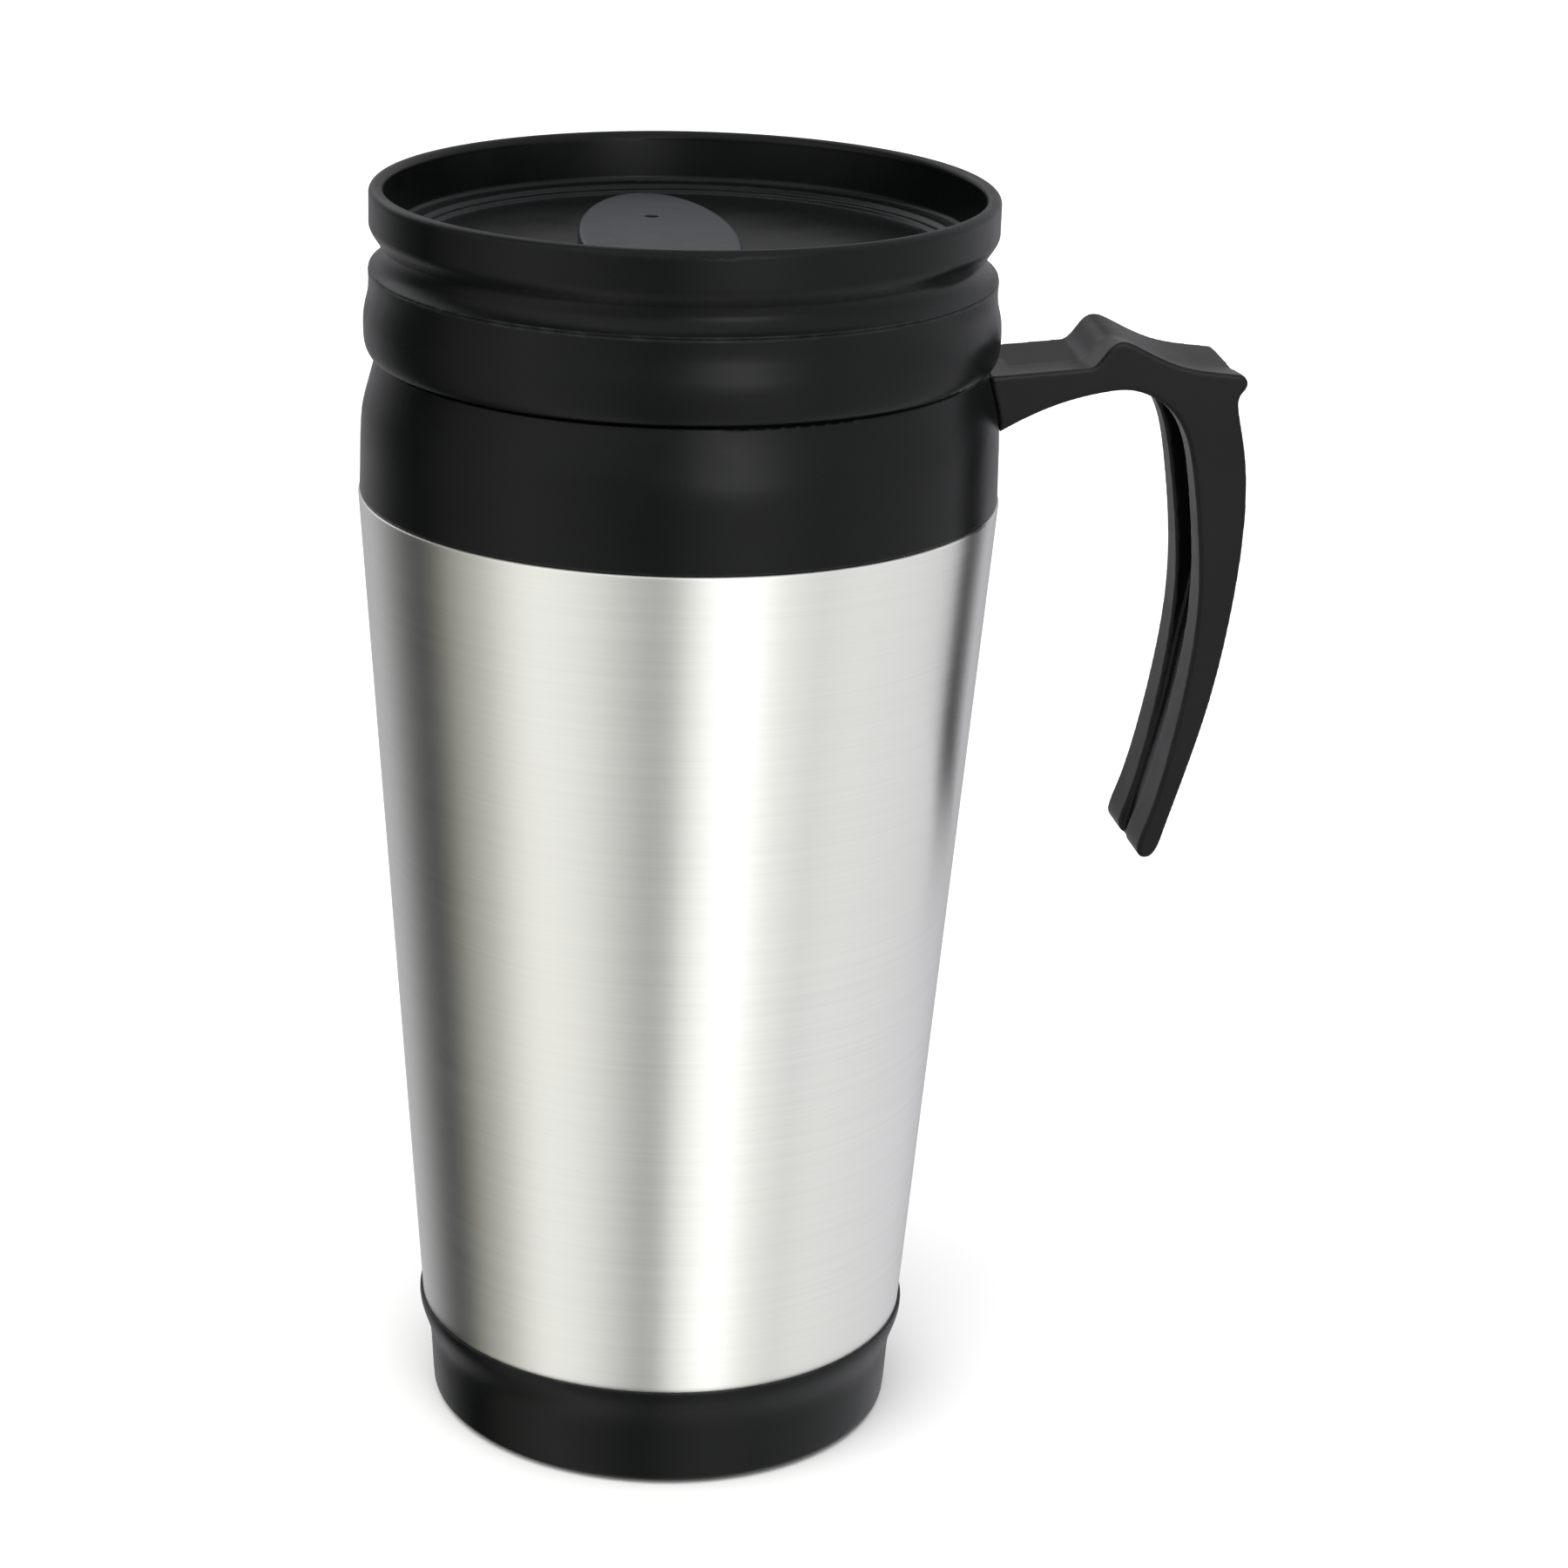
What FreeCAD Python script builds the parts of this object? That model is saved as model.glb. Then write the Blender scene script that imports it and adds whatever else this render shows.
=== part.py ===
"""Insulated travel mug with a screw lid, a swivel closure and an open hook handle.

Millimetres, +Z up.  The origin is on the mug's axis, on the plane it stands on.
The handle points along +X, and the drink opening is on the -Y side of the lid.
Every separate piece is written to parts/NODE.step.
"""
import FreeCAD
import Part
import math
import os

os.makedirs("parts", exist_ok=True)
V = FreeCAD.Vector
OUT = V(1, 0, 0)

# ---------------------------------------------------------------- driving dimensions
HEIGHT = 177.0                # foot to lid rim
WALL_STEEL = 0.5              # outer shell and liner sheet
RUN = 0.1                     # running clearance between neighbours

CAP_TOP_Z = 15.4              # lip of the base cap
CAP_BOTTOM_Z = 0.3            # the foot pad stands this far proud
CAP_SPIGOT_Z = 22.0
CAP_WALL_R = 31.2             # inside of the base cap's lower wall
CAP_FLOOR_Z = 3.5
PAD_R = 29.0
PAD_TOP_Z = 1.5

SHELL_TOP_Z = 135.45          # upper edge of the steel shell
SHELL_TOP_R = 43.7
SHELL_CAP_R = 34.7            # radius where the shell enters the base cap
SHELL_LOW_Z = 14.4            # lower edge, inside the base cap
SHELL_SEAL = 0.6              # height of the ring under that edge
SHELL_TAPER = (SHELL_TOP_R - SHELL_CAP_R) / (SHELL_TOP_Z - CAP_TOP_Z)
SPIGOT_LOW_Z = 124.0          # the collar reaches this far down inside the shell
GROOVE_Z = (129.4, 131.0)     # groove for the shell's seal
GROOVE_DEPTH = 0.9

LINER_MOUTH_R = 37.0          # inside radius at the lip
LINER_BOTTOM_R = 27.5
LINER_FLOOR_Z = 9.6
LINER_CORNER = 5.0            # round between its wall and its floor
LINER_LIP_Z = 165.3

SEAM_Z = 154.7                # lower edge of the lid skirt
COLLAR_TOP_Z = SEAM_Z - 0.3
COLLAR_SIDE = [(41.75, 152.2), (42.4, 149.8), (43.05, 147.2), (43.3, 144.8),
               (43.4, 141.2), (43.5, SHELL_TOP_Z + 0.35)]
COLLAR_IN_R = 39.6
NECK_TOP_Z = 164.2
NECK_IN_R = 37.6
NECK_R = 39.2                 # thread root on the neck
NECK_CREST_R = 40.4
SKIRT_R = 40.9                # thread root in the skirt
SKIRT_CREST_R = 39.7
LEAD = 12.0                   # three-start right-hand thread
STARTS = 3
RIDGE_SPAN = math.radians(100.0)
RIDGE_LOW_Z = 158.6           # middle of a neck ridge at its lower end

LID_SPLIT_Z = 165.9           # lid top meets the skirt at this ridge line
LID_SPLIT_R = (39.6, 42.1)
DECK_Z = 169.0                # floor of the lid recess
DECK_UNDER_Z = 167.2
PLUG_R = 36.3                 # ring that reaches into the liner
PLUG_IN_R = 34.4
PLUG_LOW_Z = 160.0

CLOSURE_X = -3.8              # swivel axis of the closure
CLOSURE_Y = -3.4
CLOSURE_AZ = 86.9             # direction of its long axis, degrees from +X
CLOSURE_A = 29.6              # half length
CLOSURE_B = 10.7              # half width
CLOSURE_LOW_Z = 169.25
CLOSURE_TOP_Z = 171.1
CLOSURE_SWING = 45.0          # degrees from closed to open
STEM_R = 3.0
STEM_BORE_R = 3.08
DRINK_AT = 21.5               # distance of the drink opening from the swivel axis
DRINK_HALF = (4.5, 3.5)       # across and along the closure
VENT_AT = 13.0
VENT_R = 1.0
VENT_PLUG_R = 0.8
STOP_AT = 8.0                 # distance of the stop pin from the swivel axis
STOP_R = 0.85
STOP_DEPTH = 0.9              # of its slot in the deck
SEAL_MARGIN = (0.7, 0.9)      # the drink seal covers this much round the opening
BOSS_R = 5.4
WASHER_R = 4.8
WASHER_LOW_Z = DECK_UNDER_Z - 2.9
WASHER_THICK = 0.6
CLOSURE_SCREW_R = 1.1
THROUGH_Z = (160.0, 175.0)    # cutters through the deck reach from and to here

HANDLE_W = 17.8
SCREW_Y = 4.6
SCREW_Z = 150.3
SCREW_R = 1.5
SCREW_HEAD_R = 2.7
SCREW_SEAT_X = 39.25          # flat seat of the screw heads inside the collar
TENON_X = 41.3
TENON_SIZE = (12.8, 3.8)      # across and up
TENON_SLACK = 0.1


def shell_r(z):
    """Outside radius of the tapered steel shell at height z."""
    return SHELL_TOP_R - (SHELL_TOP_Z - z) * SHELL_TAPER


def shell_in_r(z):
    """Inside radius of the shell at height z."""
    return shell_r(z) - WALL_STEEL


def liner_r(z):
    """Inside radius of the liner at height z."""
    share = (z - LINER_FLOOR_Z) / (LINER_LIP_Z - LINER_FLOOR_Z)
    return LINER_BOTTOM_R + (LINER_MOUTH_R - LINER_BOTTOM_R) * share


# ---------------------------------------------------------------- helpers
def pt(p):
    return V(p[0], 0, p[1])


def edge(kind, points):
    """One edge of an outline in the XZ plane: line, arc (three points) or curve."""
    vs = [pt(p) for p in points]
    if kind == "line":
        return Part.LineSegment(vs[0], vs[1]).toShape()
    if kind == "arc":
        return Part.Arc(vs[0], vs[1], vs[2]).toShape()
    spline = Part.BSplineCurve()
    reach = [0.0]
    for a, b in zip(vs, vs[1:]):
        reach.append(reach[-1] + math.sqrt(a.distanceToPoint(b)))
    spline.interpolate(Points=vs, Parameters=reach)
    return spline.toShape()


def outline(steps):
    """Closed wire in the XZ plane.

    steps is a list of (x, z) corners.  A step ("arc", middle, end) or
    ("curve", [points]) leaves the last point on a round stretch.
    """
    start = steps[0]
    last = start
    edges = []
    for step in steps[1:] + [start]:
        if step[0] == "arc":
            edges.append(edge("arc", [last, step[1], step[2]]))
            last = step[2]
        elif step[0] == "curve":
            edges.append(edge("curve", [last] + step[1]))
            last = step[1][-1]
        elif math.hypot(step[0] - last[0], step[1] - last[1]) > 1e-6:
            edges.append(edge("line", [last, step]))
            last = step
    return Part.Wire(edges)


def revolve(steps):
    """Solid of revolution about Z from an (r, z) outline."""
    face = Part.Face(outline(steps))
    return face.revolve(V(0, 0, 0), V(0, 0, 1), 360)


def slab(steps, half_width):
    """An XZ outline made half_width thick on each side of the XZ plane."""
    face = Part.Face(outline(steps))
    face.translate(V(0, -half_width, 0))
    return face.extrude(V(0, 2 * half_width, 0))


def rod(x, y, z0, z1, r):
    return Part.makeCylinder(r, z1 - z0, V(x, y, z0))


def ellipse_prism(a, b, z0, z1, cx, cy, az):
    """Upright elliptic prism, long axis at azimuth az degrees."""
    rim = Part.Ellipse(V(0, 0, 0), a, b).toShape()
    face = Part.Face(Part.Wire([rim]))
    body = face.extrude(V(0, 0, z1 - z0))
    body.rotate(V(0, 0, 0), V(0, 0, 1), az)
    body.translate(V(cx, cy, z0))
    return body


def on_closure(along, across, turn=0.0):
    """Lid position of a point of the closure, given along and across its long axis."""
    a = math.radians(CLOSURE_AZ + turn)
    x = CLOSURE_X + along * math.cos(a) - across * math.sin(a)
    y = CLOSURE_Y + along * math.sin(a) + across * math.cos(a)
    return x, y


def ridge(r_root, r_crest, z_mid, az, base=2.1, tip=1.1):
    """One helical thread ridge whose height runs out at both ends."""
    steps = 12
    sections = []
    bury = 0.35 if r_crest > r_root else -0.35
    for i in range(steps + 1):
        share = i / steps
        angle = RIDGE_SPAN * share
        rise = min(1.0, 0.12 + 5.0 * min(share, 1.0 - share))
        z = z_mid + LEAD * angle / (2 * math.pi)
        r = r_root + (r_crest - r_root) * rise
        half_tip = base / 2 - (base - tip) / 2 * rise
        corners = [(r_root - bury, z - base / 2), (r, z - half_tip),
                   (r, z + half_tip), (r_root - bury, z + base / 2)]
        c, s = math.cos(az + angle), math.sin(az + angle)
        ring = [V(q[0] * c, q[0] * s, q[1]) for q in corners]
        sections.append(Part.makePolygon(ring + [ring[0]]))
    return Part.makeLoft(sections, True, False)


def thread(r_root, r_crest, z_mid):
    return [ridge(r_root, r_crest, z_mid, 2 * math.pi * k / STARTS) for k in range(STARTS)]


def fillet(body, radius, pick):
    """Round the edges that pick(edge) chooses."""
    chosen = [e for e in body.Edges if pick(e)]
    return body.makeFillet(radius, chosen)


# ---------------------------------------------------------------- mug body
def outer_shell():
    """Brushed steel sleeve with a slightly rounded upper edge."""
    top_r, low_r = SHELL_TOP_R, shell_r(SHELL_LOW_Z)
    w = WALL_STEEL
    return revolve([
        (low_r - w, SHELL_LOW_Z), (low_r, SHELL_LOW_Z),
        (shell_r(SHELL_TOP_Z - 0.3), SHELL_TOP_Z - 0.3),
        ("arc", (top_r - 0.11, SHELL_TOP_Z - 0.08), (top_r - 0.3, SHELL_TOP_Z)),
        (top_r - w, SHELL_TOP_Z)])


def inner_liner():
    """Steel cup with a round bottom corner and a flat turned-out lip."""
    w = WALL_STEEL
    corner = LINER_CORNER
    k = corner * (1 - math.sqrt(0.5))
    z0, r0 = LINER_FLOOR_Z, liner_r(LINER_FLOOR_Z + corner)
    r_up = liner_r(LINER_LIP_Z)
    return revolve([
        (0, z0), (r0 - corner, z0), ("arc", (r0 - k, z0 + k), (r0, z0 + corner)),
        (r_up, LINER_LIP_Z - 0.4),
        ("arc", (r_up + 0.12, LINER_LIP_Z - 0.12), (r_up + 0.4, LINER_LIP_Z)),
        (NECK_R, LINER_LIP_Z), (NECK_R, LINER_LIP_Z - w), (r_up + w, LINER_LIP_Z - w),
        (r0 + w, z0 + corner),
        ("arc", (r0 + w - k, z0 - w + k), (r0 + w - corner, z0 - w)),
        (0, z0 - w)])


def collar_blank():
    """Collar ring before the screw holes: band, shoulder, neck and spigot."""
    top = COLLAR_TOP_Z
    groove_low, groove_high = GROOVE_Z
    low_r = shell_in_r(SPIGOT_LOW_Z)
    return revolve([
        (NECK_IN_R, NECK_TOP_Z), (NECK_R - 0.3, NECK_TOP_Z), (NECK_R, NECK_TOP_Z - 0.3),
        (NECK_R, top), (40.7, top), ("arc", (41.05, top - 0.12), (41.25, top - 0.5)),
        ("curve", COLLAR_SIDE),
        (SHELL_TOP_R - 0.4, SHELL_TOP_Z), (shell_in_r(SHELL_TOP_Z), SHELL_TOP_Z),
        (shell_in_r(groove_high), groove_high),
        (shell_in_r(groove_high) - GROOVE_DEPTH, groove_high),
        (shell_in_r(groove_low) - GROOVE_DEPTH, groove_low),
        (shell_in_r(groove_low), groove_low),
        (low_r, SPIGOT_LOW_Z), (low_r - 1.8, SPIGOT_LOW_Z),
        (COLLAR_IN_R, 134.0), (COLLAR_IN_R, top - 2.2), (NECK_IN_R, top - 1.2)])


def collar():
    """Black ring that joins shell, liner, handle and lid."""
    body = collar_blank()
    for one in thread(NECK_R, NECK_CREST_R, RIDGE_LOW_Z):
        body = body.fuse(one)
    body = body.cut(tenon_box(TENON_SLACK))
    for side in (-1, 1):
        start = V(SCREW_SEAT_X, side * SCREW_Y, SCREW_Z)
        hole = Part.makeCylinder(SCREW_R + 0.2, 6, start - OUT, OUT)
        seat = Part.makeCylinder(SCREW_HEAD_R + RUN, 2.2, start - 2.2 * OUT, OUT)
        body = body.cut(hole).cut(seat)
    return body


def tenon_box(slack=0.0):
    """Block on the handle's root, or with some slack the pocket that takes it."""
    long, tall = TENON_SIZE
    start = V(TENON_X - slack, -long / 2 - slack, SCREW_Z - tall / 2 - slack)
    return Part.makeBox(3.4, long + 2 * slack, tall + 2 * slack, start)


def shell_seal():
    """Sealing ring in the collar's spigot groove."""
    low, high = GROOVE_Z[0] + RUN, GROOVE_Z[1] - RUN
    thick = GROOVE_DEPTH - 0.05
    return revolve([(shell_in_r(low) - thick, low), (shell_in_r(low), low),
                    (shell_in_r(high), high), (shell_in_r(high) - thick, high)])


def liner_seal():
    """Flat ring between the neck and the liner's lip."""
    low = NECK_TOP_Z
    high = LINER_LIP_Z - WALL_STEEL
    return revolve([(NECK_IN_R + 0.1, low), (NECK_R - 0.3, low), (NECK_R - 0.1, low + 0.25),
                    (NECK_R - 0.3, high), (NECK_IN_R + 0.1, high)])


def insulation_sleeve():
    """Foam sleeve wrapped round the liner, with air between it and the shell."""
    low, high = CAP_SPIGOT_Z + 0.5, SPIGOT_LOW_Z - 0.5
    gap = WALL_STEEL + RUN
    thick = 3.8
    return revolve([
        (liner_r(low) + gap, low), (liner_r(low) + gap + thick, low),
        (liner_r(high) + gap + thick, high), (liner_r(high) + gap, high)])


def insulation_disc():
    """Foam disc under the liner, dished to take its bottom."""
    r = CAP_WALL_R
    corner = LINER_CORNER + WALL_STEEL
    r0 = liner_r(LINER_FLOOR_Z + LINER_CORNER) + WALL_STEEL
    z0 = LINER_FLOOR_Z - WALL_STEEL
    k = corner * (1 - math.sqrt(0.5))
    return revolve([
        (0, CAP_FLOOR_Z), (r, CAP_FLOOR_Z), (r, 14.0), (r0 + 0.02, 14.0),
        ("arc", (r0 - k + 0.02, z0 + k - 0.4), (r0 - corner, z0)), (0, z0)])


def base_cap():
    """Plastic foot: flared lip outside the shell, spigot inside it, floor below."""
    ledge = SHELL_LOW_Z - SHELL_SEAL
    in_r = shell_in_r(SHELL_LOW_Z)
    bevel_z = CAP_SPIGOT_Z - 0.8
    spigot_up = shell_in_r(bevel_z)
    lip = SHELL_CAP_R + 0.35
    return revolve([
        (0, PAD_TOP_Z), (PAD_R + RUN, PAD_TOP_Z), (PAD_R + RUN, CAP_BOTTOM_Z),
        (32.1, CAP_BOTTOM_Z), ("arc", (32.75, 0.65), (33.05, 1.5)),
        ("curve", [(33.25, 4.0), (33.45, 7.4), (33.8, 10.1), (34.4, 12.0), (34.97, 13.7),
                   (lip + 0.07, CAP_TOP_Z - 0.15)]),
        (lip, CAP_TOP_Z), (SHELL_CAP_R, CAP_TOP_Z),
        (shell_r(SHELL_LOW_Z), SHELL_LOW_Z), (shell_r(SHELL_LOW_Z), ledge),
        (in_r - 0.6, ledge), (in_r - 0.6, SHELL_LOW_Z), (in_r, SHELL_LOW_Z),
        (spigot_up, bevel_z), (spigot_up - 0.7, CAP_SPIGOT_Z),
        (spigot_up - 1.7, CAP_SPIGOT_Z), (CAP_WALL_R + 0.9, SHELL_LOW_Z),
        (CAP_WALL_R, 11.0), (CAP_WALL_R, CAP_FLOOR_Z), (0, CAP_FLOOR_Z)])


def base_seal():
    """Ring that the shell's lower edge stands on."""
    r_out = shell_r(SHELL_LOW_Z) - 0.05
    r_in = shell_r(SHELL_LOW_Z) - WALL_STEEL - 0.55
    low = SHELL_LOW_Z - SHELL_SEAL
    return revolve([(r_in, low), (r_out, low), (r_out, SHELL_LOW_Z), (r_in, SHELL_LOW_Z)])


def foot_pad():
    """Non-slip disc with three shallow rings round a full flat face."""
    body = revolve([(0, 0), (PAD_R - 0.4, 0), (PAD_R, 0.4), (PAD_R, PAD_TOP_Z), (0, PAD_TOP_Z)])
    for r in (15.0, 20.0, 25.0):
        body = body.cut(revolve([(r - 0.6, 0), (r + 0.6, 0), (r + 0.3, 0.4), (r - 0.3, 0.4)]))
    return body


# ---------------------------------------------------------------- handle
ARM_ROOT = (40.5, 152.7)
HUMP_FOOT = (54.6, 153.75)
HUMP = [(56.2, 155.2), (57.4, 156.7), (58.9, 157.3), (61.8, 156.2), (66.9, 153.9),
        (71.9, 152.9)]
TIP = [(75.0, 152.55), (76.3, 151.9), (76.55, 150.7), (75.8, 149.6), (75.5, 148.1)]
OUTER_GRIP = [(76.8, 141.7), (77.5, 130.8), (76.4, 117.9), (73.5, 102.6), (69.0, 87.1)]
GRIP_END = [(67.9, 83.9), (66.7, 82.8), (65.5, 83.2), (65.3, 84.7)]
INNER_GRIP = [(66.8, 89.3), (70.3, 105.3), (71.7, 121.8), (70.3, 135.8), (69.0, 142.3)]
CROOK = [(67.6, 145.6), (65.7, 147.9), (63.1, 149.6)]
ARCH = [(60.2, 150.4), (57.0, 150.2), (51.7, 149.0), (45.7, 146.6), (41.0, 143.9)]
CHANNEL_FLOOR = [(73.7, 140.8), (75.0, 131.3), (74.2, 121.0), (72.4, 111.5), (70.9, 103.0),
                 (67.5, 89.3), (65.6, 82.0)]
CHANNEL_HALF = (1.6, 5.2)     # half width at the lower and the upper end


def handle_blank():
    """Side outline of the hook, before the hollows are taken out."""
    hook = HUMP + TIP + OUTER_GRIP + GRIP_END + INNER_GRIP + CROOK + ARCH
    return slab([ARM_ROOT, HUMP_FOOT, ("curve", hook)], HANDLE_W / 2)


def trough_half(side):
    """Oblique cutter that lowers the arm's top towards its middle line."""
    cover = Part.Face(outline([
        ARM_ROOT, HUMP_FOOT, ("curve", HUMP + TIP[:1]), (80, 152.1), (80, 162), (40.5, 162)]))
    outside = HANDLE_W / 2 + 1.0
    cover.translate(V(0, side * outside, 0))
    return cover.extrude(V(0.5, -side * outside, -1.2))


def channel():
    """Hollow in the mug-facing side of the grip, narrower and shallower downwards."""
    low, high = 81.0, 148.0
    side_view = slab([(60.0, 146.7), (71.6, 147.0), ("curve", CHANNEL_FLOOR), (56.0, 82.0)],
                     HANDLE_W / 2)
    narrow, wide = CHANNEL_HALF
    corners = [V(50, -narrow, low), V(50, -wide, high), V(50, wide, high), V(50, narrow, low)]
    front = Part.makePolygon(corners + corners[:1])
    block = Part.Face(front).extrude(V(40, 0, 0))
    return side_view.common(block)


def collar_envelope():
    """Everything inside the collar's outer surface, where the handle meets it."""
    top = COLLAR_TOP_Z
    return revolve([
        (0, top + 10), (41.25, top + 10), (41.25, top - 0.5), ("curve", COLLAR_SIDE),
        (SHELL_TOP_R, 130), (0, 130)])


def handle():
    """Hook handle with a dished arm, a thumb hump and a hollow grip."""
    body = handle_blank()
    for side in (-1, 1):
        body = body.cut(trough_half(side))
    body = body.cut(channel())
    body = body.cut(collar_envelope())
    body = body.fuse(tenon_box())
    for side in (-1, 1):
        pilot = Part.makeCylinder(SCREW_R, 8.2, V(40, side * SCREW_Y, SCREW_Z), OUT)
        body = body.cut(pilot)
    return body.removeSplitter()


def handle_screws():
    """Two pan-head screws driven outward from inside the collar."""
    high = 1.35
    screws = []
    for side in (-1, 1):
        base = V(SCREW_SEAT_X, side * SCREW_Y, SCREW_Z)
        shank = Part.makeCylinder(SCREW_R, 8.9, base, OUT)
        head = Part.makeCylinder(SCREW_HEAD_R, high, base - high * OUT, OUT)
        head = fillet(head, 0.5, lambda e: e.CenterOfMass.x < SCREW_SEAT_X - high + 0.01)
        for spin in (0, 90):
            bar = Part.makeBox(0.8, 2.8, 0.7, base - V(high + 0.25, 1.4, 0.35))
            bar.rotate(base, OUT, spin)
            head = head.cut(bar)
        screws.append(shank.fuse(head).removeSplitter())
    return Part.makeCompound(screws)


# ---------------------------------------------------------------- lid
def lid_top():
    """Rim, groove and dished deck, with the plug ring and the closure's bore."""
    split_in, split_out = LID_SPLIT_R
    body = revolve([
        (0, DECK_Z), (35.7, DECK_Z), (36.1, 169.45), (36.7, 169.6), (37.3, 170.1),
        (38.9, 170.1), ("arc", (39.45, 170.3), (39.7, 170.8)),
        (40.2, 175.9), ("arc", (41.15, HEIGHT), (42.2, 175.9)),
        (42.2, 172.1),
        ("curve", [(41.7, 170.9), (40.8, 169.5), (40.6, 168.3), (41.1, 167.1),
                   (42.2, LID_SPLIT_Z + 0.2)]),
        (split_out, LID_SPLIT_Z), (split_in, LID_SPLIT_Z), (split_in, DECK_UNDER_Z - 0.3),
        (39.4, DECK_UNDER_Z), (PLUG_R, DECK_UNDER_Z), (PLUG_R, PLUG_LOW_Z + 0.6),
        (PLUG_R - 0.6, PLUG_LOW_Z), (PLUG_IN_R, PLUG_LOW_Z), (PLUG_IN_R, DECK_UNDER_Z),
        (0, DECK_UNDER_Z)])
    boss = rod(CLOSURE_X, CLOSURE_Y, DECK_UNDER_Z - 2.0, DECK_UNDER_Z + 0.5, BOSS_R)
    body = body.fuse(boss)
    body = body.cut(rod(CLOSURE_X, CLOSURE_Y, *THROUGH_Z, STEM_BORE_R))
    dx, dy = on_closure(-DRINK_AT, 0)
    across, along = DRINK_HALF
    hole = ellipse_prism(across, along, *THROUGH_Z, dx, dy, CLOSURE_AZ + 90)
    body = body.cut(hole)
    vx, vy = on_closure(VENT_AT, 0, CLOSURE_SWING)
    body = body.cut(rod(vx, vy, *THROUGH_Z, VENT_R))
    return body.cut(stop_slot())


def stop_slot():
    """Blind arc slot in the deck that limits the closure's swing."""
    half = STOP_R + 0.15
    spare = math.degrees(half / STOP_AT)
    start = CLOSURE_AZ - spare
    sweep = CLOSURE_SWING + 2 * spare
    base = V(CLOSURE_X, CLOSURE_Y, DECK_Z - STOP_DEPTH)
    outer = Part.makeCylinder(STOP_AT + half, STOP_DEPTH + 1, base, V(0, 0, 1), sweep)
    inner = Part.makeCylinder(STOP_AT - half, STOP_DEPTH + 1, base, V(0, 0, 1))
    slot = outer.cut(inner)
    slot.rotate(base, V(0, 0, 1), start)
    return slot


def lid_skirt():
    """Outer ring of the lid with the female thread inside."""
    split_in, split_out = LID_SPLIT_R
    body = revolve([
        (SKIRT_R, SEAM_Z + 0.5), (SKIRT_R + 0.3, SEAM_Z), (41.6, SEAM_Z),
        ("arc", (42.15, SEAM_Z + 0.15), (42.5, SEAM_Z + 0.6)),
        ("curve", [(42.8, 156.1), (42.95, 157.8), (42.85, 160.3), (42.45, 162.0),
                   (42.25, 163.6), (42.3, LID_SPLIT_Z - 0.25)]),
        (split_out, LID_SPLIT_Z), (split_in, LID_SPLIT_Z), (split_in, LID_SPLIT_Z - 0.7),
        (SKIRT_R, LID_SPLIT_Z - 1.5)])
    low = RIDGE_LOW_Z - LEAD / STARTS / 2
    for one in thread(SKIRT_R, SKIRT_CREST_R, low + 0.05):
        body = body.fuse(one)
    return body


def lid_gasket():
    """Silicone ring under the deck that seals on the liner's lip."""
    low, high = LINER_LIP_Z + 0.1, DECK_UNDER_Z - 0.1
    return revolve([
        (PLUG_R + 0.15, low + 0.5), (PLUG_R + 0.45, low), (38.9, low),
        ("arc", (39.2, low + 0.5), (39.0, low + 1.0)), (39.0, high), (PLUG_R + 0.15, high)])


def closure():
    """Oval swivel plate with a finger rib at the drink end."""
    plate = ellipse_prism(CLOSURE_A, CLOSURE_B, CLOSURE_LOW_Z, CLOSURE_TOP_Z,
                          CLOSURE_X, CLOSURE_Y, CLOSURE_AZ)
    plate = fillet(plate, 0.55, lambda e: len(e.Vertexes) < 2
                   and e.CenterOfMass.z > CLOSURE_TOP_Z - 1e-6)
    rx, ry = on_closure(-25.2, 0)
    rib = ellipse_prism(5.2, 1.9, CLOSURE_TOP_Z - 0.4, CLOSURE_TOP_Z + 2.0,
                        rx, ry, CLOSURE_AZ + 90)
    rib = fillet(rib, 0.4, lambda e: e.CenterOfMass.z > CLOSURE_TOP_Z + 1.9
                 and len(e.Vertexes) < 2)
    stem = rod(CLOSURE_X, CLOSURE_Y, DECK_UNDER_Z - 2.3, CLOSURE_LOW_Z + 0.5, STEM_R)
    sx, sy = on_closure(STOP_AT, 0)
    stop = rod(sx, sy, DECK_Z - STOP_DEPTH + 0.3, CLOSURE_LOW_Z + 0.5, STOP_R)
    body = plate.fuse(rib).fuse(stem).fuse(stop)
    dx, dy = on_closure(-DRINK_AT, 0)
    across, along = seal_half()
    body = body.cut(ellipse_prism(across, along, CLOSURE_LOW_Z - 1, CLOSURE_LOW_Z + 0.8,
                                  dx, dy, CLOSURE_AZ + 90))
    px, py = on_closure(VENT_AT, 0, CLOSURE_SWING)
    body = body.cut(rod(px, py, CLOSURE_LOW_Z - RUN, CLOSURE_LOW_Z + 0.6, VENT_PLUG_R))
    vx, vy = on_closure(VENT_AT, 0)
    body = body.cut(rod(vx, vy, *THROUGH_Z, VENT_R))
    body = body.cut(rod(CLOSURE_X, CLOSURE_Y, THROUGH_Z[0], CLOSURE_LOW_Z + 0.2, CLOSURE_SCREW_R))
    return body.removeSplitter()


def seal_half():
    """Half sizes of the drink seal, across and along the closure."""
    return [half + margin for half, margin in zip(DRINK_HALF, SEAL_MARGIN)]


def closure_seal():
    """Silicone pad over the drink opening, held in the closure's pocket."""
    dx, dy = on_closure(-DRINK_AT, 0)
    across, along = seal_half()
    return ellipse_prism(across, along, DECK_Z + RUN, CLOSURE_LOW_Z + 0.8,
                         dx, dy, CLOSURE_AZ + 90)


def vent_seal():
    """Small silicone plug that covers the deck's vent while closed."""
    px, py = on_closure(VENT_AT, 0, CLOSURE_SWING)
    return rod(px, py, DECK_Z + RUN, CLOSURE_LOW_Z + 0.6, VENT_PLUG_R)


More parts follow.
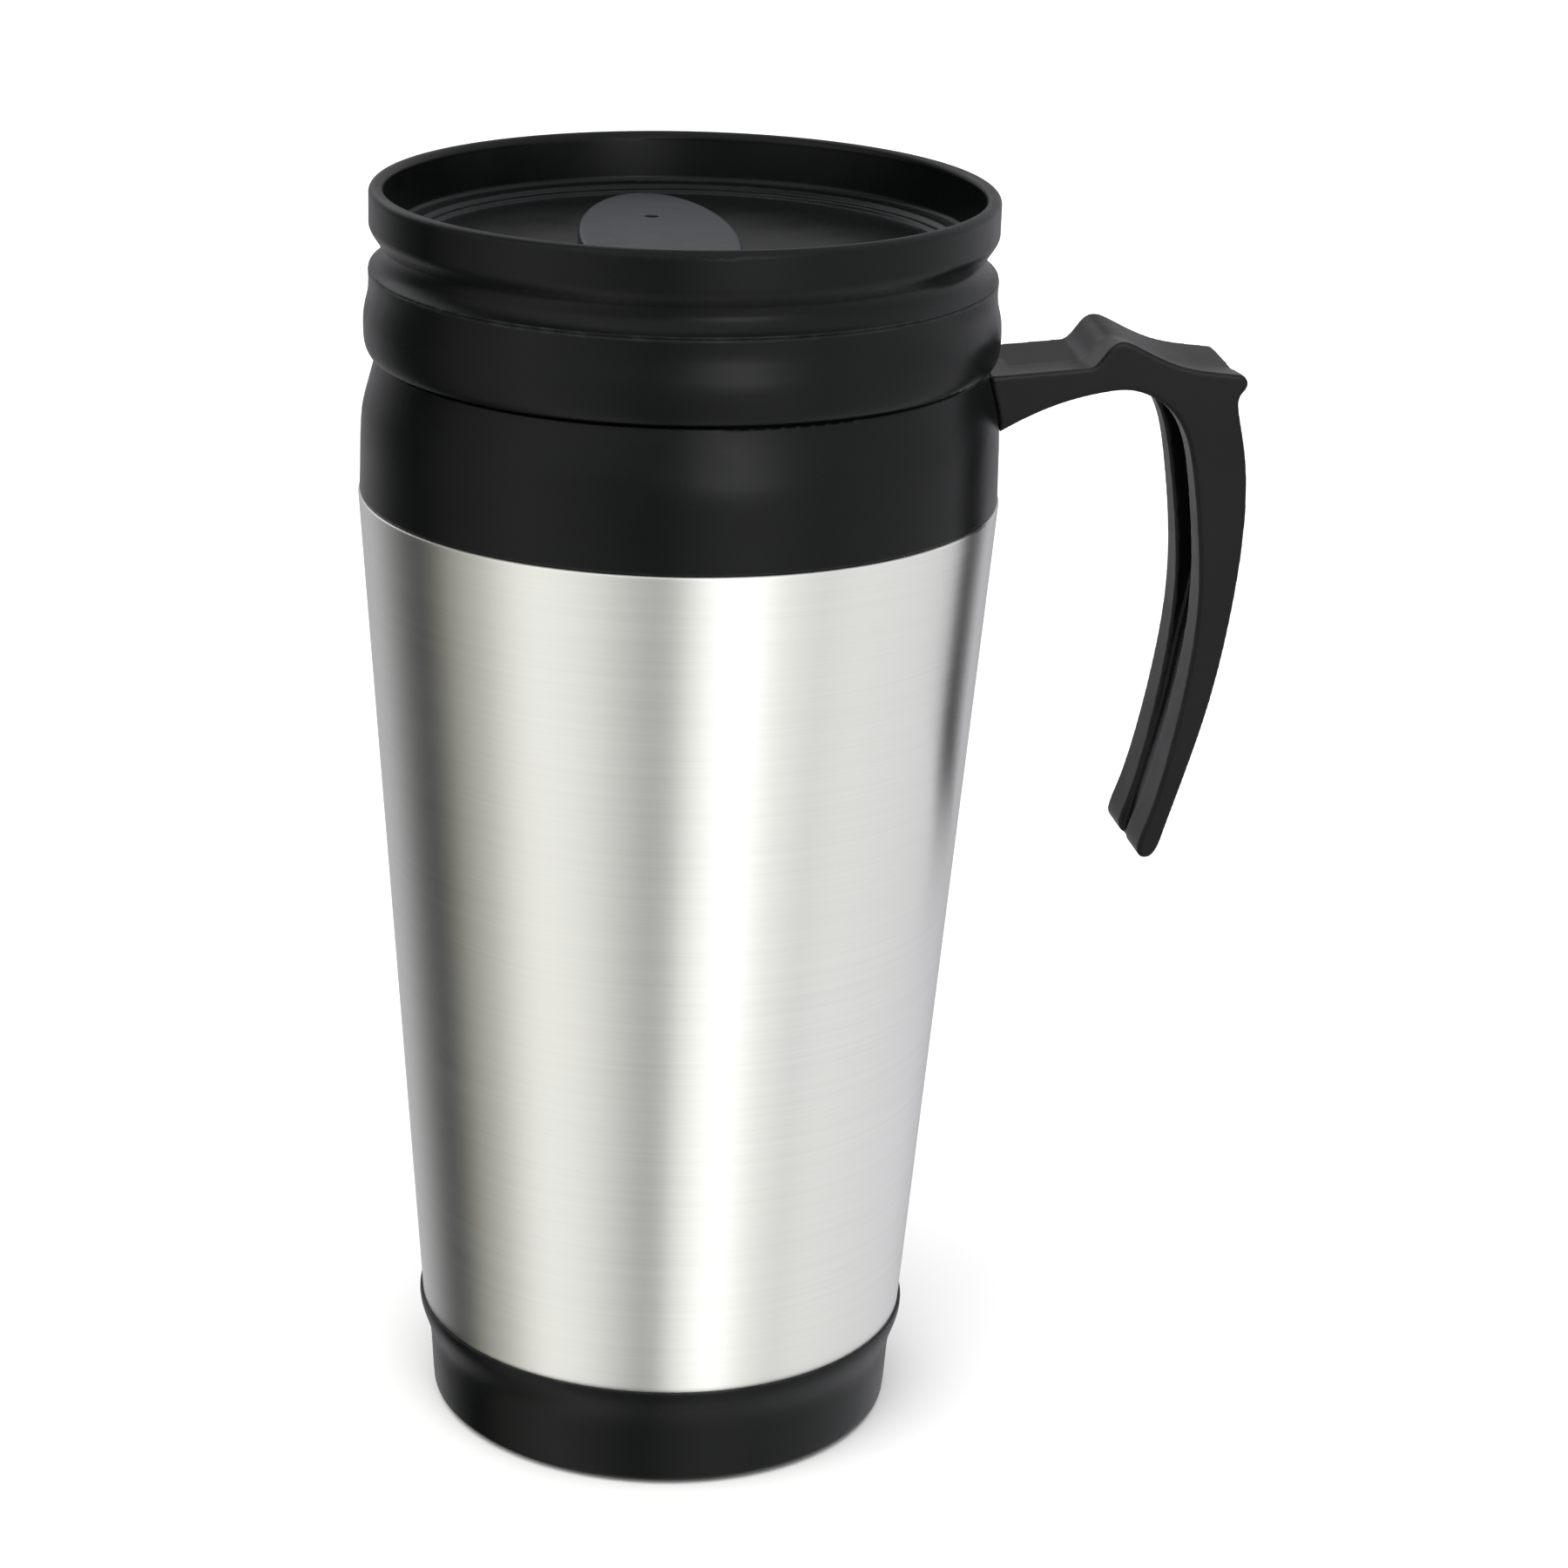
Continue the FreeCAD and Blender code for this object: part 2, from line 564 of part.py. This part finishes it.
def closure_washer():
    """Steel washer that holds the closure down against the deck's boss."""
    ring = rod(CLOSURE_X, CLOSURE_Y, WASHER_LOW_Z, WASHER_LOW_Z + WASHER_THICK, WASHER_R)
    return ring.cut(rod(CLOSURE_X, CLOSURE_Y, *THROUGH_Z, CLOSURE_SCREW_R + 0.3))


def closure_screw():
    """Pan-head screw from below into the closure's stem."""
    seat = WASHER_LOW_Z
    head = rod(CLOSURE_X, CLOSURE_Y, seat - 1.5, seat, 2.6)
    head = fillet(head, 0.6, lambda e: e.CenterOfMass.z < seat - 1.4)
    for spin in (0, 90):
        bar = Part.makeBox(3.0, 0.7, 0.8, V(CLOSURE_X - 1.5, CLOSURE_Y - 0.35, seat - 1.5))
        bar.rotate(V(CLOSURE_X, CLOSURE_Y, 0), V(0, 0, 1), spin)
        head = head.cut(bar)
    shank = rod(CLOSURE_X, CLOSURE_Y, seat - 0.1, CLOSURE_LOW_Z - 0.3, CLOSURE_SCREW_R)
    return head.fuse(shank).removeSplitter()


# ---------------------------------------------------------------- write the parts
NODES = [outer_shell, inner_liner, collar, shell_seal, liner_seal, insulation_sleeve,
         insulation_disc, base_cap, base_seal, foot_pad, handle, handle_screws,
         lid_top, lid_skirt, lid_gasket, closure, closure_seal, vent_seal,
         closure_washer, closure_screw]

for make in NODES:
    shape = make()
    box = shape.BoundBox
    print("%-18s valid %s solids %d volume %9.1f  x %.2f %.2f  y %.2f %.2f  z %.2f %.2f" % (
        make.__name__, shape.isValid(), len(shape.Solids), shape.Volume,
        box.XMin, box.XMax, box.YMin, box.YMax, box.ZMin, box.ZMax))
    shape.exportStep("parts/%s.step" % make.__name__)
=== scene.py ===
import math

import bmesh
import bpy
from mathutils import Matrix, Vector


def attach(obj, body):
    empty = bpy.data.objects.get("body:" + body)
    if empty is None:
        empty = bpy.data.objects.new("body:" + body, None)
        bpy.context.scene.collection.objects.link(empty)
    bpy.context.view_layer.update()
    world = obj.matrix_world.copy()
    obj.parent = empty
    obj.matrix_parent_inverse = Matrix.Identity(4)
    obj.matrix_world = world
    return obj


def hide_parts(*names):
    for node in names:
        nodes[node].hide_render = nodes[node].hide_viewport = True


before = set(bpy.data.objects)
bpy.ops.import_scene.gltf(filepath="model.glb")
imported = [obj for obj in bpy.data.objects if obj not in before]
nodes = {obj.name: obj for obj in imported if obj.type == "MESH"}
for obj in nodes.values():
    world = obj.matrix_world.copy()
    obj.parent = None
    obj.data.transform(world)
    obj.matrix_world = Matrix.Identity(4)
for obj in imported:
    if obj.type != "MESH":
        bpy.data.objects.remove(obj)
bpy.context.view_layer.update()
scene = bpy.context.scene
MM = 0.001


# ---------------------------------------------------------------- node trees
def add(tree, kind, inputs=None, **settings):
    """A node with its settings. inputs holds, by name or number, a value or the socket that feeds it."""
    made = tree.nodes.new(kind)
    for name, value in settings.items():
        setattr(made, name, value)
    for key, value in (inputs or {}).items():
        if isinstance(value, bpy.types.NodeSocket):
            tree.links.new(value, made.inputs[key])
        else:
            made.inputs[key].default_value = value
    return made


def object_point(tree):
    return add(tree, "ShaderNodeTexCoord").outputs["Object"]


def noise(tree, point, scale, detail=2.0, roughness=0.5):
    """Noise from 0 to 1. scale is in features per metre, one number or one for each axis."""
    if not hasattr(scale, "__len__"):
        scale = (scale, scale, scale)
    spread = add(tree, "ShaderNodeMapping", {"Vector": point, "Scale": scale})
    made = add(
        tree,
        "ShaderNodeTexNoise",
        {"Vector": spread.outputs["Vector"], "Scale": 1.0, "Detail": detail, "Roughness": roughness},
    )
    return made.outputs["Fac"]


def remap(tree, value, low, high, to_low, to_high):
    made = add(
        tree,
        "ShaderNodeMapRange",
        {"Value": value, "From Min": low, "From Max": high, "To Min": to_low, "To Max": to_high},
    )
    return made.outputs["Result"]


def math_node(tree, operation, a, b=0.0):
    return add(tree, "ShaderNodeMath", {0: a, 1: b}, operation=operation).outputs["Value"]


def dot(tree, a, b):
    return add(tree, "ShaderNodeVectorMath", {0: a, 1: b}, operation="DOT_PRODUCT").outputs["Value"]


def blend(tree, a, share, b):
    """share of a and the rest of b."""
    kept = math_node(tree, "MULTIPLY", a, share)
    return math_node(tree, "ADD", kept, math_node(tree, "MULTIPLY", b, 1 - share))


def mix_colour(tree, share, a, b):
    made = add(tree, "ShaderNodeMix", {"Factor": share}, data_type="RGBA")
    for index, value in ((6, a), (7, b)):
        if isinstance(value, bpy.types.NodeSocket):
            tree.links.new(value, made.inputs[index])
        else:
            made.inputs[index].default_value = (*value, 1.0)
    return made.outputs[2]


def bump(tree, height, distance, strength=1.0, normal=None):
    inputs = {"Height": height, "Distance": distance, "Strength": strength}
    if normal is not None:
        inputs["Normal"] = normal
    return add(tree, "ShaderNodeBump", inputs).outputs["Normal"]


def new_material(name, **values):
    """A material with one Principled shader. values are plain numbers for its own sockets."""
    material = bpy.data.materials.new(name)
    material.use_nodes = True
    tree = material.node_tree
    shader = tree.nodes["Principled BSDF"]
    for key, value in values.items():
        shader.inputs[key.replace("_", " ")].default_value = value
    return material, tree, shader


EDGE_RADIUS = 0.35 * MM
EDGE_BEGINS = 0.995           # cosine of the angle between the rounded and the flat normal
EDGE_FULL = 0.88


def edge_wear_and_highlight(tree, point):
    """(share, normal): where an edge is, broken up by noise, as a share for rubbed wear and a painted
    highlight, and the normal with its edges rounded.
    """
    rounded = add(tree, "ShaderNodeBevel", {"Radius": EDGE_RADIUS}, samples=4).outputs["Normal"]
    flat = add(tree, "ShaderNodeNewGeometry").outputs["Normal"]
    edge = remap(tree, dot(tree, rounded, flat), EDGE_BEGINS, EDGE_FULL, 0.0, 1.0)
    patchy = remap(tree, noise(tree, point, 420, 3.0), 0.42, 0.68, 0.25, 1.0)
    return math_node(tree, "MULTIPLY", edge, patchy), rounded


# ---------------------------------------------------------------- materials
BROAD_GRAIN = 0.22            # scale of the broad brush lines against the fine ones
BRUSH_DEPTH = 0.004 * MM
SKIN_DEPTH = 0.05 * MM        # depth of a moulded wall's slow waves
STIPPLE_DEPTH = 0.04 * MM
BLOOM_DEPTH = 0.01 * MM
CELL_DEPTH = 0.25 * MM


def brushed_steel(name, dark, light, lines, rough, lean):
    """Steel with fine brush lines. lines is how fast the grain changes along x, y and z, per metre."""
    material, tree, shader = new_material(name, Metallic=1.0, Anisotropic=lean)
    shader.inputs["Anisotropic Rotation"].default_value = 0.25
    point = object_point(tree)
    fine = noise(tree, point, lines, 2.0, 0.6)
    broad = noise(tree, point, [n * BROAD_GRAIN for n in lines], 2.0)
    cloud = noise(tree, point, 26, 3.0)
    grain = blend(tree, fine, 0.6, broad)
    shade = remap(tree, grain, 0.3, 0.7, 0.0, 1.0)
    colour = mix_colour(tree, shade, dark, light)
    warm = remap(tree, cloud, 0.35, 0.7, 0.0, 0.35)
    colour = mix_colour(tree, warm, colour, [c * k for c, k in zip(light, (0.99, 0.985, 0.95))])
    tree.links.new(colour, shader.inputs["Base Color"])
    uneven = blend(tree, grain, 0.7, cloud)
    tree.links.new(remap(tree, uneven, 0.3, 0.7, rough - 0.035, rough + 0.035), shader.inputs["Roughness"])
    tree.links.new(bump(tree, fine, BRUSH_DEPTH, 0.4), shader.inputs["Normal"])
    tangent = add(tree, "ShaderNodeTangent", direction_type="RADIAL", axis="Z").outputs["Tangent"]
    tree.links.new(tangent, shader.inputs["Tangent"])
    return material


def moulded(name, base, rubbed_and_highlit, rough, grain_depth, specular):
    """Moulded plastic: a fine tool texture, slight unevenness, and edges painted a little lighter, partly
    as rubbed wear and partly as a painted highlight, and a little glossier.
    """
    material, tree, shader = new_material(name, Specular_IOR_Level=specular)
    point = object_point(tree)
    wear_and_highlight, rounded = edge_wear_and_highlight(tree, point)
    cloud = noise(tree, point, 55, 4.0, 0.55)
    fine = noise(tree, point, 2600, 2.0)
    colour = mix_colour(tree, remap(tree, cloud, 0.35, 0.7, 0.0, 1.0), base, [c * 1.5 for c in base])
    # edges painted lighter: partly rubbed wear, partly a painted highlight along the rims
    colour = mix_colour(tree, wear_and_highlight, colour, rubbed_and_highlit)
    tree.links.new(colour, shader.inputs["Base Color"])
    uneven = remap(tree, cloud, 0.3, 0.7, rough - 0.05, rough + 0.05)
    smudge = remap(tree, noise(tree, point, 240, 3.0), 0.45, 0.75, 0.0, 0.04)
    uneven = math_node(tree, "ADD", uneven, smudge)
    uneven = math_node(tree, "SUBTRACT", uneven, math_node(tree, "MULTIPLY", wear_and_highlight, 0.1))
    tree.links.new(uneven, shader.inputs["Roughness"])
    skin = bump(tree, fine, grain_depth * MM, 0.5, rounded)
    tree.links.new(bump(tree, cloud, SKIN_DEPTH, 0.35, skin), shader.inputs["Normal"])
    return material


def rubber(name, base):
    """Matt rubber with a coarse stipple and dusty patches."""
    material, tree, shader = new_material(name, Specular_IOR_Level=0.35)
    point = object_point(tree)
    dust = noise(tree, point, 90, 5.0, 0.6)
    stipple = noise(tree, point, 1500, 2.0)
    colour = mix_colour(tree, remap(tree, dust, 0.45, 0.75, 0.0, 0.5), base, [c + 0.03 for c in base])
    tree.links.new(colour, shader.inputs["Base Color"])
    tree.links.new(remap(tree, dust, 0.3, 0.7, 0.68, 0.85), shader.inputs["Roughness"])
    tree.links.new(bump(tree, stipple, STIPPLE_DEPTH, 0.6), shader.inputs["Normal"])
    return material


def silicone(name, base):
    """Soft grey silicone, a little see-through, with a faint matt bloom."""
    material, tree, shader = new_material(name, Subsurface_Weight=0.25, Subsurface_Scale=0.0015)
    point = object_point(tree)
    bloom = noise(tree, point, 160, 4.0, 0.6)
    colour = mix_colour(tree, remap(tree, bloom, 0.35, 0.7, 0.0, 1.0), [c * 0.88 for c in base], base)
    tree.links.new(colour, shader.inputs["Base Color"])
    tree.links.new(remap(tree, bloom, 0.3, 0.7, 0.38, 0.56), shader.inputs["Roughness"])
    tree.links.new(bump(tree, noise(tree, point, 1900, 2.0), BLOOM_DEPTH, 0.5), shader.inputs["Normal"])
    return material


def foam(name, base):
    """Closed-cell foam: small rounded cells, with painted shade darkening the hollows between them."""
    material, tree, shader = new_material(name, Specular_IOR_Level=0.2)
    point = object_point(tree)
    cells = add(tree, "ShaderNodeTexVoronoi", {"Vector": point, "Scale": 900.0}, feature="SMOOTH_F1")
    cell = remap(tree, cells.outputs["Distance"], 0.0, 0.7, 0.0, 1.0)
    # painted shade: colour darkens away from each cell's middle, into the hollows between the domes
    colour = mix_colour(tree, cell, base, [c * 0.72 for c in base])
    tree.links.new(colour, shader.inputs["Base Color"])
    tree.links.new(remap(tree, cell, 0.0, 1.0, 0.8, 0.95), shader.inputs["Roughness"])
    dome = math_node(tree, "SUBTRACT", 1.0, cell)
    tree.links.new(bump(tree, dome, CELL_DEPTH, 0.7), shader.inputs["Normal"])
    return material


SHELL = brushed_steel("steel_shell", (0.86, 0.86, 0.84), (0.94, 0.94, 0.92), (45, 45, 5200), 0.36, 0.95)
LINER = brushed_steel("steel_liner", (0.62, 0.62, 0.61), (0.78, 0.78, 0.77), (2600, 2600, 30), 0.36, 0.5)
SCREW = brushed_steel("steel_screw", (0.50, 0.50, 0.49), (0.70, 0.70, 0.68), (1500, 1500, 1500), 0.30, 0.0)
BLACK = (0.0014, 0.0017, 0.0018)
# edge colour, here and in each moulded finish below: partly rubbed wear, partly a painted highlight
RUBBED_AND_HIGHLIT = (0.03, 0.033, 0.035)
BODY = moulded("plastic_body", BLACK, RUBBED_AND_HIGHLIT, 0.28, 0.006, 0.18)
HANDLE = moulded("plastic_handle", (0.0018, 0.0019, 0.0021), (0.035, 0.037, 0.04), 0.28, 0.004, 0.22)
LID = moulded("plastic_lid", BLACK, RUBBED_AND_HIGHLIT, 0.28, 0.006, 0.18)
CLOSURE = moulded("plastic_closure", (0.008, 0.0095, 0.0135), (0.05, 0.055, 0.065), 0.33, 0.008, 0.35)
PAD = rubber("rubber_pad", (0.018, 0.018, 0.018))
SEAL = silicone("silicone_seal", (0.56, 0.56, 0.54))
FOAM = foam("foam_white", (0.80, 0.80, 0.77))

FINISH = {
    "outer_shell": SHELL,
    "inner_liner": LINER,
    "collar": BODY,
    "base_cap": BODY,
    "handle": HANDLE,
    "lid_top": LID,
    "lid_skirt": LID,
    "closure": CLOSURE,
    "foot_pad": PAD,
    "insulation_sleeve": FOAM,
    "insulation_disc": FOAM,
    "handle_screws": SCREW,
    "closure_screw": SCREW,
    "closure_washer": SCREW,
}
for name, piece in nodes.items():
    piece.data.materials.clear()
    piece.data.materials.append(FINISH.get(name, SEAL))


# ---------------------------------------------------------------- handle
HANDLE_VOXEL = 0.25 * MM
HANDLE_PASSES = 5


def rounded_copy(source, name, voxel, passes):
    """A finer copy of a CAD piece whose sharp edges are rounded as a mould rounds them."""
    piece = bpy.data.objects.new(name, source.data.copy())
    scene.collection.objects.link(piece)
    remesh = piece.modifiers.new("remesh", "REMESH")
    remesh.mode = "VOXEL"
    remesh.voxel_size = voxel
    smooth = piece.modifiers.new("round", "SMOOTH")
    smooth.factor = 0.5
    smooth.iterations = passes
    evaluated = piece.evaluated_get(bpy.context.evaluated_depsgraph_get())
    mesh = bpy.data.meshes.new_from_object(evaluated)
    piece.modifiers.clear()
    piece.data = mesh
    mesh.name = name
    mesh.shade_smooth()
    return piece


grip = rounded_copy(nodes["handle"], "handle_moulded", HANDLE_VOXEL, HANDLE_PASSES)
grip.data.materials.clear()
grip.data.materials.append(HANDLE)
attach(grip, "mug")
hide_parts("handle")


# ---------------------------------------------------------------- floor and light
FLOOR_HALF = 10.0
FLOOR_DROP = 0.1 * MM         # keeps the floor's surface clear of the foot pad's


def floor():
    mesh = bpy.data.meshes.new("floor")
    grid = bmesh.new()
    bmesh.ops.create_grid(grid, x_segments=8, y_segments=8, size=FLOOR_HALF)
    grid.to_mesh(mesh)
    grid.free()
    piece = bpy.data.objects.new("floor", mesh)
    piece.location.z = -FLOOR_DROP
    scene.collection.objects.link(piece)
    material, tree, shader = new_material("floor_pale", Specular_IOR_Level=0.0)
    point = object_point(tree)
    colour = mix_colour(tree, noise(tree, point, 3, 3.0), (0.88, 0.88, 0.88), (0.90, 0.90, 0.90))
    tree.links.new(colour, shader.inputs["Base Color"])
    shader.inputs["Roughness"].default_value = 0.9
    mesh.materials.append(material)
    piece.visible_glossy = False
    piece.visible_shadow = False


floor()

CAMERA_AZIMUTH = -98.3
TOP_LEVEL = 4.0               # light level of a ramp value of 1
# (degrees round from the camera's side, level high up, level near and below the horizon, warmth)
STUDIO = [
    (-180, 0.50, 0.35, 0.0), (-152, 1.20, 0.48, -0.04), (-138, 1.20, 0.42, -0.03),
    (-125, 0.60, 0.18, 0.0), (-113, 0.20, 0.03, 0.0), (-103, 0.15, 0.02, 0.08),
    (-94, 0.40, 0.22, 0.12), (-88, 0.60, 0.40, 0.10), (-80, 0.80, 0.52, 0.10),
    (-73, 0.90, 0.60, 0.06), (-64, 1.10, 0.92, 0.04), (-54, 1.20, 1.05, 0.03),
    (-42, 1.20, 0.92, 0.03), (-28, 1.10, 0.74, 0.03), (-21, 0.95, 0.56, 0.02),
    (-8, 0.80, 0.36, 0.02), (-1, 0.85, 0.40, 0.02), (5, 1.10, 0.76, 0.03), (15, 1.20, 0.80, 0.03),
    (24, 1.30, 1.02, 0.03), (32, 1.20, 1.02, 0.03), (39, 1.10, 0.96, 0.03), (46, 1.05, 0.90, 0.02),
    (53, 0.90, 0.70, 0.0), (60, 0.90, 0.80, 0.0), (70, 0.95, 0.86, 0.01), (88, 0.90, 0.82, 0.0),
    (104, 0.85, 0.78, -0.02), (125, 0.85, 0.74, -0.05), (145, 0.70, 0.60, -0.05),
    (165, 0.55, 0.40, -0.03),
]
WINDOW = (20.0, 9.0, 3.0)     # degrees round, degrees up, level of the small bright window
WINDOW_EDGE = (0.955, 0.992)  # cosine of the angle from its middle where it starts and is full
HIGH_BEGINS = 0.34            # sine of the height above which only the high level is seen
LOW_BEGINS = 0.22             # and below which only the near and low level is


def light_ring(tree, share, column):
    """Light level by direction round the mug, from one column of STUDIO."""
    ramp = add(tree, "ShaderNodeValToRGB", {"Fac": share})
    ramp.color_ramp.interpolation = "EASE"
    stops = ramp.color_ramp.elements
    while len(stops) > 1:
        stops.remove(stops[0])
    for index, entry in enumerate(STUDIO + [(180, *STUDIO[0][1:])]):
        place = (entry[0] + 180) / 360
        stop = stops[0] if index == 0 else stops.new(place)
        stop.position = place
        level = entry[column] / TOP_LEVEL
        stop.color = (level, level, level * (1 - entry[3]), 1)
    return ramp.outputs["Color"]


def studio_light():
    """Soft light all round, brighter and darker by direction, as from walls, windows and a doorway."""
    world = bpy.data.worlds.new("studio")
    world.use_nodes = True
    scene.world = world
    tree = world.node_tree
    direction = add(tree, "ShaderNodeTexCoord").outputs["Generated"]
    turn = (0, 0, math.radians(-CAMERA_AZIMUTH))
    turned = add(tree, "ShaderNodeMapping", {"Vector": direction, "Rotation": turn}).outputs["Vector"]
    share = add(tree, "ShaderNodeTexGradient", {"Vector": turned}, gradient_type="RADIAL").outputs["Fac"]
    rise = add(tree, "ShaderNodeSeparateXYZ", {0: turned}).outputs["Z"]
    near = remap(tree, rise, HIGH_BEGINS, LOW_BEGINS, 0.0, 1.0)
    light = mix_colour(tree, near, light_ring(tree, share, 1), light_ring(tree, share, 2))
    around, up = math.radians(WINDOW[0]), math.radians(WINDOW[1])
    pane = (math.cos(around) * math.cos(up), math.sin(around) * math.cos(up), math.sin(up))
    brightness = remap(tree, dot(tree, turned, pane), *WINDOW_EDGE, 0.0, WINDOW[2])
    glow = add(tree, "ShaderNodeBackground", {"Strength": brightness})
    plain = add(tree, "ShaderNodeBackground", {"Color": (1.0, 1.0, 1.0, 1), "Strength": 1.0})
    room = add(tree, "ShaderNodeBackground", {"Color": light, "Strength": TOP_LEVEL})
    seen = add(tree, "ShaderNodeLightPath").outputs["Is Camera Ray"]
    lit = add(tree, "ShaderNodeAddShader", {0: room.outputs[0], 1: glow.outputs[0]})
    both = add(tree, "ShaderNodeMixShader", {0: seen, 1: lit.outputs[0], 2: plain.outputs[0]})
    tree.links.new(both.outputs[0], tree.nodes["World Output"].inputs["Surface"])


studio_light()

SUN_LEVEL = 2.3
SUN_SPREAD = 70               # degrees
SUN_LEAN = (18, -12)          # degrees about x and y

sun = bpy.data.lights.new("overhead", "SUN")
sun.energy = SUN_LEVEL
sun.angle = math.radians(SUN_SPREAD)
overhead = bpy.data.objects.new("overhead", sun)
overhead.rotation_euler = (math.radians(SUN_LEAN[0]), math.radians(SUN_LEAN[1]), 0)
overhead.visible_glossy = False
scene.collection.objects.link(overhead)

# ---------------------------------------------------------------- camera
EYE = Vector((-77.47, -529.39, 280.20)) * MM
YAW = math.radians(7.660)
TILT = math.radians(19.343)
ROLL = math.radians(1.085)
LENS = 92.81                  # mm, on a sensor SENSOR mm wide
SENSOR = 36.0
SHIFT = 0.10                  # the picture is part of a wider one
CLIP = (0.01, 60.0)


def camera():
    data = bpy.data.cameras.new("camera")
    data.lens = LENS
    data.shift_x = SHIFT
    data.sensor_width = SENSOR
    data.clip_start, data.clip_end = CLIP
    piece = bpy.data.objects.new("camera", data)
    forward = Vector((math.sin(YAW) * math.cos(TILT), math.cos(YAW) * math.cos(TILT), -math.sin(TILT)))
    right = Vector((math.cos(YAW), -math.sin(YAW), 0))
    up = right.cross(forward)
    side = math.cos(ROLL) * right + math.sin(ROLL) * up
    top = math.cos(ROLL) * up - math.sin(ROLL) * right
    pose = Matrix((side, top, -forward)).transposed().to_4x4()
    pose.translation = EYE
    piece.matrix_world = pose
    scene.collection.objects.link(piece)
    scene.camera = piece


camera()
scene.view_settings.view_transform = "Standard"
scene.view_settings.look = "None"
